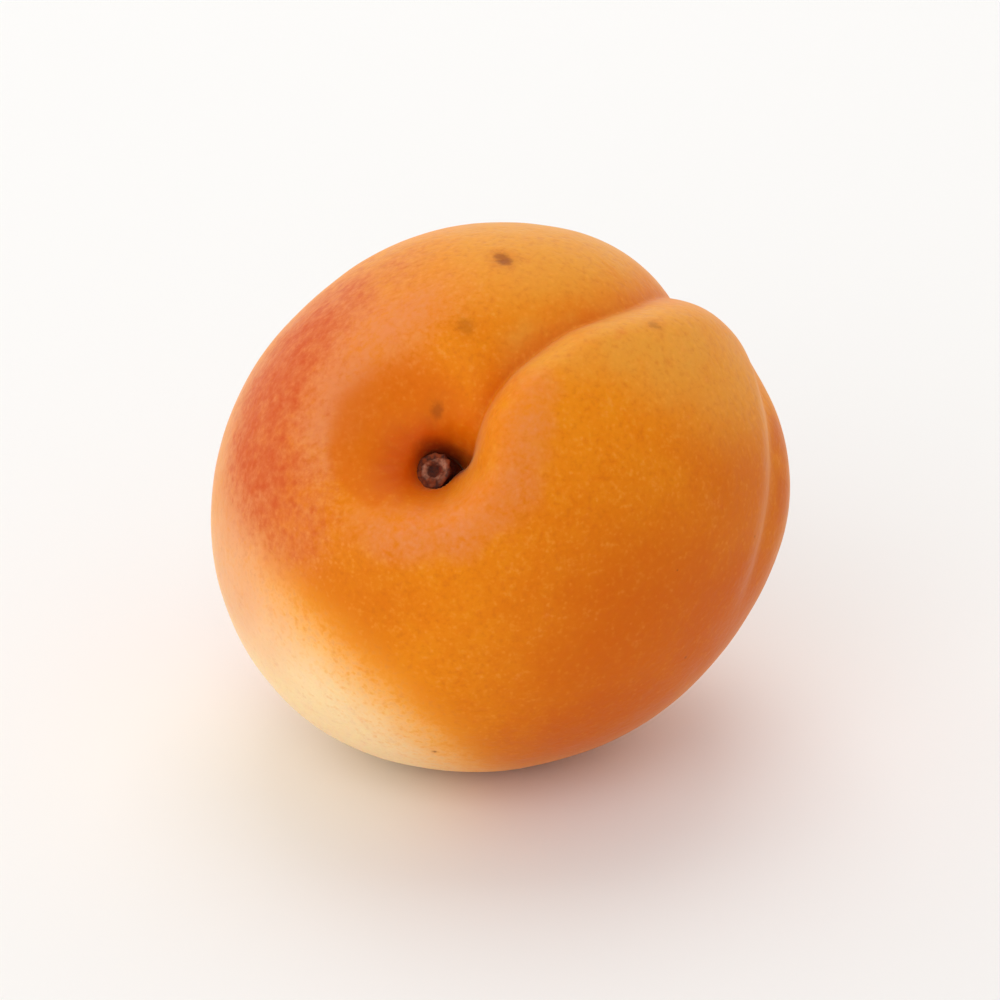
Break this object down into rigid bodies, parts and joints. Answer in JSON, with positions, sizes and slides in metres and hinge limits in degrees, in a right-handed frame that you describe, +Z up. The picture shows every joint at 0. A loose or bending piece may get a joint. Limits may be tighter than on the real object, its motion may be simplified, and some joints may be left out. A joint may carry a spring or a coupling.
{
  "type": "apricot",
  "caption": "Ripe apricot lying at a slant: a round two-lobed fruit with a deep suture, a hollow at the stalk end and a dry stub of the stalk in it.",
  "frame": {"origin": "on the surface that the fruit rests on, under the middle of its bounding box", "axes": "+Z up as the fruit lies; the stalk end points up and towards -Y; +X runs towards the proud lobe, across the fruit's longest extent"},
  "size_m": [0.0498, 0.0462, 0.0462],
  "materials": {
    "skin": "soft velvety skin, orange with a red blush on one shoulder, fine pale stippling and a few brown specks; soft and slightly translucent",
    "stalk": "dry brown stalk end, matt, with a paler raised rim"
  },
  "bodies": {
    "root": {"fruit": "skin", "stalk_stub": "stalk"}
  },
  "joints": []
}
